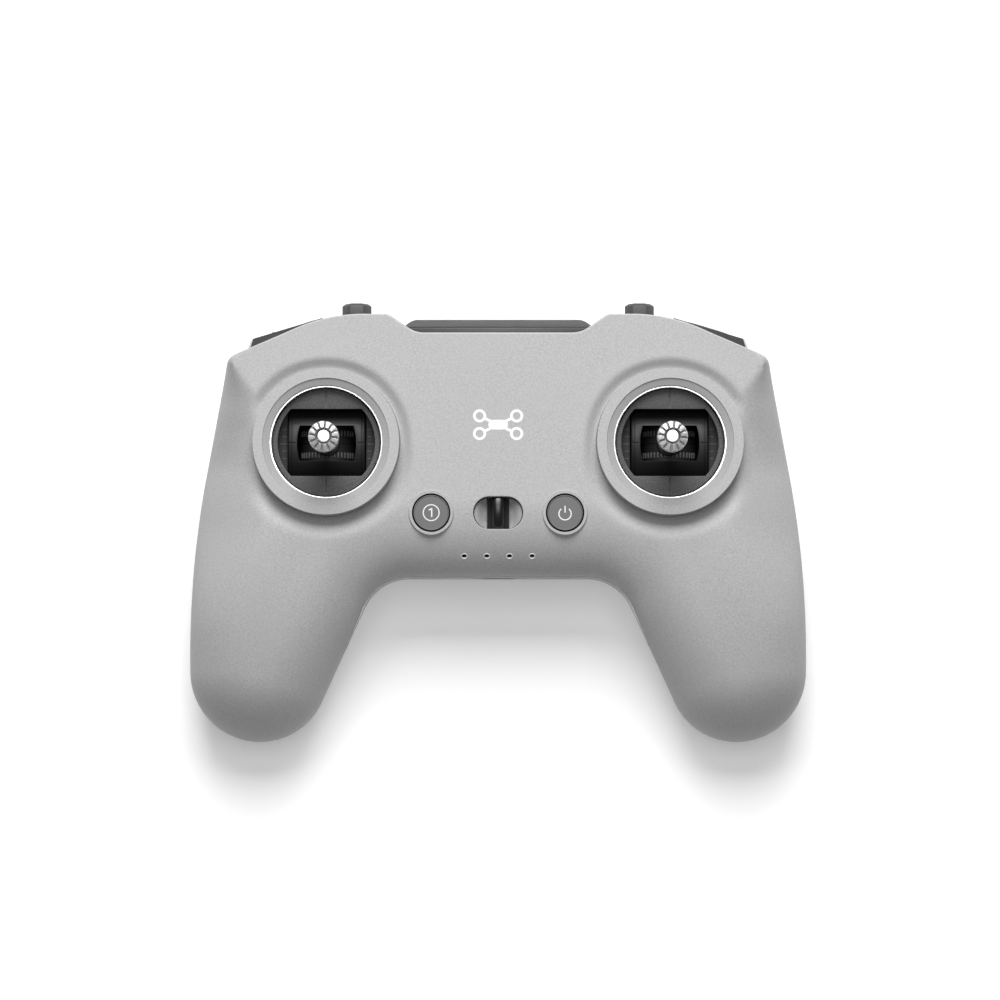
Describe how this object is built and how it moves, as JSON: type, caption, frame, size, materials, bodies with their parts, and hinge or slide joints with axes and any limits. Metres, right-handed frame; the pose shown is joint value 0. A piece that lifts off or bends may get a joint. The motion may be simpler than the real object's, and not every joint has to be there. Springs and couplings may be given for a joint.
{
  "type": "radio transmitter controller",
  "caption": "Handheld radio transmitter in a grey gamepad-shaped casing, with gimbal sticks in raised collars, face buttons, shoulder toggles, a dial and a lanyard bar.",
  "frame": {"origin": "on the table, under the middle of the outline, with the transmitter lying on its back", "axes": "+Z out of the face with the sticks, +Y towards the shoulders with the toggles, +X to the right of someone who looks at the face"},
  "size_m": [0.165, 0.1176, 0.062],
  "materials": {
    "casing_grey": "fine stipple",
    "dark_trim": "satin",
    "circuit_board": "solder mask",
    "rubber_dark": "matt, fine ribs",
    "steel": "plain",
    "black_plastic": "satin",
    "light_guide": "clear, unlit",
    "cell_wrap": "heat-shrink wrap",
    "recess_grey": "satin",
    "cover_plate": "fine texture, engraved marks",
    "bright_ring": "polished",
    "stick_metal": "turned, bead blasted",
    "button_grey": "satin"
  },
  "bodies": {
    "casing": {"front_shell": "casing_grey", "rear_shell": "casing_grey", "antenna_cover": "dark_trim", "antenna_boards": "circuit_board", "left_shoulder_bezel": "dark_trim", "right_shoulder_bezel": "dark_trim", "switch_plates": "dark_trim", "left_grip_inlay": "rubber_dark", "right_grip_inlay": "rubber_dark", "adjuster_plugs": "rubber_dark", "adjuster_screws": "steel", "case_screws": "steel", "main_board": "circuit_board", "rf_module": "steel", "buzzer": "black_plastic", "key_switches": "black_plastic", "light_pipes": "light_guide", "usb_c_socket": "steel", "battery_cell": "cell_wrap", "battery_tray": "dark_trim", "lanyard_cup": "recess_grey", "lanyard_bar": "dark_trim", "gimbal_screws": "steel", "left_gimbal_frame": "black_plastic", "left_gimbal_cover": "cover_plate", "left_trim_ring": "bright_ring", "left_gimbal_bearings": "steel", "left_centering_levers": "black_plastic", "left_centering_springs": "steel", "left_gimbal_sensor": "circuit_board", "right_gimbal_frame": "black_plastic", "right_gimbal_cover": "cover_plate", "right_trim_ring": "bright_ring", "right_gimbal_bearings": "steel", "right_centering_levers": "black_plastic", "right_centering_springs": "steel", "right_gimbal_sensor": "circuit_board", "switch_pins": "steel", "switch_bases": "dark_trim", "dial_axle": "steel"},
    "left_gimbal_yoke": {"left_yoke": "black_plastic"},
    "left_stick": {"left_hub": "black_plastic", "left_stick_shaft": "stick_metal", "left_stick_cap": "stick_metal", "left_stick_pin": "stick_metal"},
    "right_gimbal_yoke": {"right_yoke": "black_plastic"},
    "right_stick": {"right_hub": "black_plastic", "right_stick_shaft": "stick_metal", "right_stick_cap": "stick_metal", "right_stick_pin": "stick_metal"},
    "function_button_body": {"function_button": "button_grey"},
    "power_button_body": {"power_button": "button_grey"},
    "pause_button_body": {"pause_button": "button_grey"},
    "record_button_body": {"record_button": "button_grey"},
    "mode_switch_body": {"mode_switch_lever": "button_grey"},
    "option_switch_body": {"option_switch_lever": "button_grey"},
    "tilt_dial_body": {"tilt_dial": "black_plastic"}
  },
  "joints": [
    {"name": "left_stick_up_down", "type": "hinge", "parent": "casing", "child": "left_gimbal_yoke", "pos_m": [-0.0455, 0.0199, 0.025], "axis": [1, 0, 0], "range_deg": [-24, 24]},
    {"name": "left_stick_side", "type": "hinge", "parent": "left_gimbal_yoke", "child": "left_stick", "pos_m": [-0.0455, 0.0199, 0.025], "axis": [0, 1, 0], "range_deg": [-24, 24], "stiffness_Nm_per_rad": 0.02},
    {"name": "right_stick_up_down", "type": "hinge", "parent": "casing", "child": "right_gimbal_yoke", "pos_m": [0.0455, 0.0199, 0.025], "axis": [1, 0, 0], "range_deg": [-24, 24], "stiffness_Nm_per_rad": 0.02},
    {"name": "right_stick_side", "type": "hinge", "parent": "right_gimbal_yoke", "child": "right_stick", "pos_m": [0.0455, 0.0199, 0.025], "axis": [0, 1, 0], "range_deg": [-24, 24], "stiffness_Nm_per_rad": 0.02},
    {"name": "function_button_press", "type": "slide", "parent": "casing", "child": "function_button_body", "axis": [0, 0.0788, -0.9969], "range_m": [0, 0.0006], "stiffness_N_per_m": 250, "springref_m": -0.0004},
    {"name": "power_button_press", "type": "slide", "parent": "casing", "child": "power_button_body", "axis": [0, 0.0788, -0.9969], "range_m": [0, 0.0006], "stiffness_N_per_m": 250, "springref_m": -0.0004},
    {"name": "pause_button_press", "type": "slide", "parent": "casing", "child": "pause_button_body", "axis": [0.289, -0.9573, 0], "range_m": [0, 0.0006], "stiffness_N_per_m": 250, "springref_m": -0.0004},
    {"name": "record_button_press", "type": "slide", "parent": "casing", "child": "record_button_body", "axis": [-0.289, -0.9573, 0], "range_m": [0, 0.0006], "stiffness_N_per_m": 250, "springref_m": -0.0004},
    {"name": "mode_switch_tilt", "type": "hinge", "parent": "casing", "child": "mode_switch_body", "pos_m": [-0.038, 0.0493, 0.018], "axis": [1, 0, 0], "range_deg": [-18, 18]},
    {"name": "option_switch_tilt", "type": "hinge", "parent": "casing", "child": "option_switch_body", "pos_m": [0.038, 0.0493, 0.018], "axis": [1, 0, 0], "range_deg": [-18, 18]},
    {"name": "tilt_dial_turn", "type": "hinge", "parent": "casing", "child": "tilt_dial_body", "pos_m": [-0.05867, 0.04499, 0.0157], "axis": [0, 0, 1], "range_deg": [-30, 30], "stiffness_Nm_per_rad": 0.004}
  ]
}
